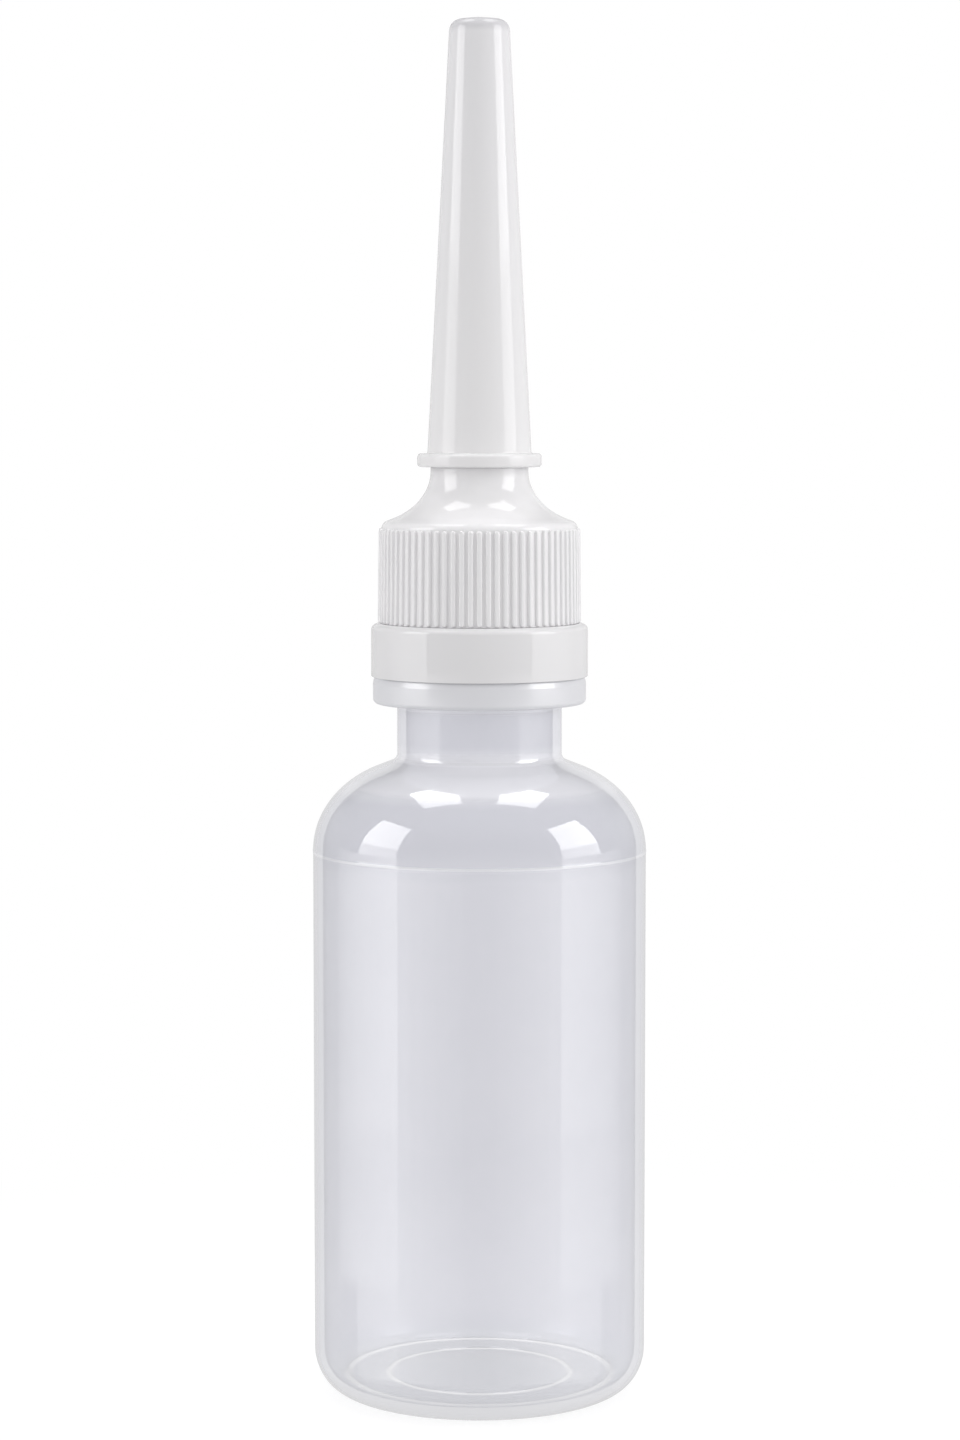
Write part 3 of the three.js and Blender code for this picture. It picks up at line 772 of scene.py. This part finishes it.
def softboxes():
    """The softboxes of one side as (name, near turn, far turn, low, high, light, shine). Angles are in
    degrees as seen from the bottle, turns from the front. Light is the level that lights, and shine the one
    that is mirrored."""
    panels = [("upper", 58, 90, 12, 40, 1.5, 6.0), ("middle", 58, 90, 1, 12, 1.4, 3.4),
              ("foot_low", 57, 90, -33, -26, 0.0, 0.6)]
    front, strip, end, foot_end = 12, 57, 112, 92
    wide, narrow = 9, 5
    for turn in range(front, strip, wide):
        rise = 0.3 + 0.029 * (turn - front)
        panels.append(("inner_%d" % turn, turn, turn + wide, -26, -8, 0.0, rise))
    for turn in range(strip, end, narrow):
        fade = 2.74 - 0.047 * (turn - strip)
        panels.append(("low_%d" % turn, turn, turn + narrow, -16, 1, 0.0, fade))
        panels.append(("lower_%d" % turn, turn, turn + narrow, -20, -16, 0.0, 0.82 * fade))
        if turn < foot_end:
            panels.append(("foot_%d" % turn, turn, turn + narrow, -26, -20, 0.0, 0.6 * fade))
    return panels


class MakeStage(bpy.types.Operator):
    """Pale floor, white ground, softboxes at both sides and overhead, and the camera"""
    bl_idname = "enema_bottle.make_stage"
    bl_label = "Stage"

    def execute(self, context):
        s = context.scene.enema_stage
        self.floor()
        self.ground(s)
        self.lamps()
        camera = bpy.data.cameras.new("camera")
        camera.lens = s.lens
        camera.clip_start = 0.01
        made = bpy.data.objects.new("camera", camera)
        made.location = (0.07 * MM, -s.distance, s.height)
        made.rotation_euler = (math.radians(90) - s.tilt, 0, 0)
        context.scene.collection.objects.link(made)
        context.scene.camera = made
        context.scene.view_settings.view_transform = "Standard"
        context.scene.cycles.transparent_max_bounces = 16
        return {"FINISHED"}

    def floor(self):
        """A table that is white to the eye beyond the object's shadow, and under its foot, where it glows as
        painted light
        """
        reach, drop, shade_glow = 4.0, 0.05 * MM, 0.82
        shadow_from, shadow_to = 40 * MM, 160 * MM
        foot_glow_from, foot_glow_to = 17.5 * MM, 14.5 * MM

        bm = bmesh.new()
        bmesh.ops.create_circle(bm, cap_ends=True, segments=96, radius=reach)
        mesh = bpy.data.meshes.new("floor")
        bm.to_mesh(mesh)
        bm.free()
        made = bpy.data.objects.new("floor", mesh)
        bpy.context.scene.collection.objects.link(made)
        made.location.z = -drop
        made.visible_glossy = False
        made.visible_diffuse = False
        material, tree, spot = new_material("white_table")
        path = add_node(tree, "ShaderNodeLightPath").outputs
        seen = add_node(tree, "ShaderNodeMath", {"operation": "MAXIMUM"},
                        {0: path["Is Camera Ray"], 1: path["Is Transmission Ray"]})
        away = add_node(tree, "ShaderNodeVectorMath", {"operation": "LENGTH"}, {0: spot}).outputs["Value"]
        beyond = add_node(tree, "ShaderNodeMapRange", {"interpolation_type": "SMOOTHSTEP"},
                          {"Value": away, "From Min": shadow_from, "From Max": shadow_to})
        # Painted light: under the foot the floor glows full white, which takes out its shadow there.
        under = add_node(tree, "ShaderNodeMapRange", {"interpolation_type": "SMOOTHSTEP"},
                         {"Value": away, "From Min": foot_glow_from, "From Max": foot_glow_to})
        fade = add_node(tree, "ShaderNodeMath", {"operation": "MAXIMUM"}, {0: beyond, 1: under})
        plain = add_node(tree, "ShaderNodeBsdfDiffuse", inputs={"Color": linear("#EDEDED")})
        faint = add_node(tree, "ShaderNodeBsdfDiffuse", inputs={"Color": linear("#808080")})
        glow = add_node(tree, "ShaderNodeEmission", inputs={"Color": WHITE, "Strength": shade_glow})
        white = add_node(tree, "ShaderNodeEmission", inputs={"Color": WHITE, "Strength": 1.0})
        shaded = add_node(tree, "ShaderNodeAddShader", inputs={0: faint, 1: glow})
        lit = add_node(tree, "ShaderNodeMixShader", inputs={"Fac": fade, 1: shaded, 2: white})
        both = add_node(tree, "ShaderNodeMixShader", inputs={"Fac": seen, 1: plain, 2: lit})
        add_node(tree, "ShaderNodeOutputMaterial", inputs={"Surface": both})
        mesh.materials.append(material)

    def ground(self, s):
        """White behind the object, and in its mirror images a dim room in front and a bright backdrop and
        floor"""
        # Directions, as their share of one: how far to the back, and how far up
        back_from, back_to = 0.3, 1.0
        top_from, top_to = 0.25, 0.5
        floor_from, floor_to = -0.12, -0.3

        world = bpy.data.worlds.new("white_ground")
        bpy.context.scene.world = world
        world.use_nodes = True
        tree = world.node_tree
        tree.nodes.clear()
        path = add_node(tree, "ShaderNodeLightPath").outputs
        toward = add_node(tree, "ShaderNodeTexCoord").outputs["Generated"]
        way = add_node(tree, "ShaderNodeSeparateXYZ", inputs={"Vector": toward}).outputs
        walls = add_node(tree, "ShaderNodeMapRange",
                         inputs={"Value": way["Y"], "From Min": back_from, "From Max": back_to,
                                 "To Min": s.room_front, "To Max": s.room_back})
        tops = add_node(tree, "ShaderNodeMapRange", {"interpolation_type": "SMOOTHSTEP"},
                        {"Value": way["Z"], "From Min": top_from, "From Max": top_to, "To Min": walls,
                         "To Max": s.room_front})
        room = add_node(tree, "ShaderNodeMapRange", {"interpolation_type": "SMOOTHSTEP"},
                        {"Value": way["Z"], "From Min": floor_from, "From Max": floor_to, "To Min": tops,
                         "To Max": s.room_back})
        soft = add_node(tree, "ShaderNodeMix",
                        inputs={"Factor": path["Is Glossy Ray"], "A": s.ambient, "B": room})
        seen = add_node(tree, "ShaderNodeMath", {"operation": "MAXIMUM"},
                        {0: path["Is Camera Ray"], 1: path["Is Transmission Ray"]})
        level = add_node(tree, "ShaderNodeMath", {"operation": "MAXIMUM"}, {0: seen, 1: soft})
        sky = add_node(tree, "ShaderNodeBackground", inputs={"Color": WHITE, "Strength": level})
        add_node(tree, "ShaderNodeOutputWorld", inputs={"Surface": sky})

    def lamps(self):
        """Upright softboxes left and right, brighter above and fading outwards below, and two overhead"""
        middle, away = Vector((0, 0, 0.1)), 0.6
        overhead_out, overhead_back, overhead_size = 0.32, 0.16, (0.36 * away, 0.5 * away)
        overhead_light, overhead_shine = 2.7, 4.6
        for side, hand, light_gain, shine_gain, strip_gain in SIDES:
            for name, near_turn, far_turn, low, high, light, shine in softboxes():
                turn = math.radians((near_turn + far_turn) / 2)
                flat = Vector((side * math.sin(turn), -math.cos(turn), 0))
                bottom, top = (away * math.tan(math.radians(e)) for e in (low, high))
                at = middle + flat * away + Vector((0, 0, (bottom + top) / 2))
                size = (2 * away * math.tan(math.radians((far_turn - near_turn) / 2)), top - bottom)
                self.lamp("softbox_%s_%s" % (name, hand), at, -flat, size, light * light_gain,
                          shine * (shine_gain if light else strip_gain))
            at = middle + Vector((side * overhead_out, overhead_back, 1.0)) * away
            self.lamp("overhead_" + hand, at, Vector((0, 0, -1)), overhead_size,
                      overhead_light, overhead_shine)

    def lamp(self, name, at, facing, size, light, shine):
        """A softbox as two lamps in one place: one that lights the object and, just in front, one that it
        mirrors"""
        shine_ahead = 5 * MM
        for use, glow in (("light", light), ("shine", shine)):
            if not glow:
                continue
            data = bpy.data.lights.new(name + "_" + use, "AREA")
            data.shape = "RECTANGLE"
            data.size, data.size_y = size
            data.energy = glow * math.pi * size[0] * size[1]
            made = bpy.data.objects.new(name + "_" + use, data)
            made.location = at + facing * (shine_ahead if use == "shine" else 0.0)
            made.rotation_euler = facing.to_track_quat("-Z", "Y").to_euler()
            made.visible_camera = False
            made.visible_diffuse = use == "light"
            made.visible_glossy = use == "shine"
            bpy.context.scene.collection.objects.link(made)


class BottlePanel(bpy.types.Panel):
    """The steps that build the bottle, in order"""
    bl_idname = "VIEW3D_PT_enema_bottle"
    bl_label = "Squeeze enema bottle"
    bl_space_type = "VIEW_3D"
    bl_region_type = "UI"
    bl_category = "Bottle"

    def draw(self, context):
        for step in STEPS:
            self.layout.operator(step.bl_idname)


STEPS = (MakeBottle, MakeTamperBand, MakeScrewCap, MakeNozzleCover, MakeNozzle, MakeValve, MakeSealingWasher,
         MakeStage)
GROUPS = {"enema_bottle": BottleSizes, "enema_cap": CapSizes, "enema_finish": Finishes,
          "enema_stage": StageSettings}


def register():
    for group in GROUPS.values():
        bpy.utils.register_class(group)
    for name, group in GROUPS.items():
        setattr(bpy.types.Scene, name, bpy.props.PointerProperty(type=group))
    for step in STEPS + (BottlePanel,):
        bpy.utils.register_class(step)


def unregister():
    for step in reversed(STEPS + (BottlePanel,)):
        bpy.utils.unregister_class(step)
    for name, group in reversed(GROUPS.items()):
        delattr(bpy.types.Scene, name)
        bpy.utils.unregister_class(group)


def main():
    register()
    bpy.ops.enema_bottle.make_bottle()
    bpy.ops.enema_bottle.make_tamper_band()
    bpy.ops.enema_bottle.make_screw_cap()
    bpy.ops.enema_bottle.make_nozzle_cover()
    bpy.ops.enema_bottle.make_nozzle()
    bpy.ops.enema_bottle.make_valve()
    bpy.ops.enema_bottle.make_sealing_washer()
    bpy.ops.enema_bottle.make_stage()


if __name__ == "__main__":
    main()
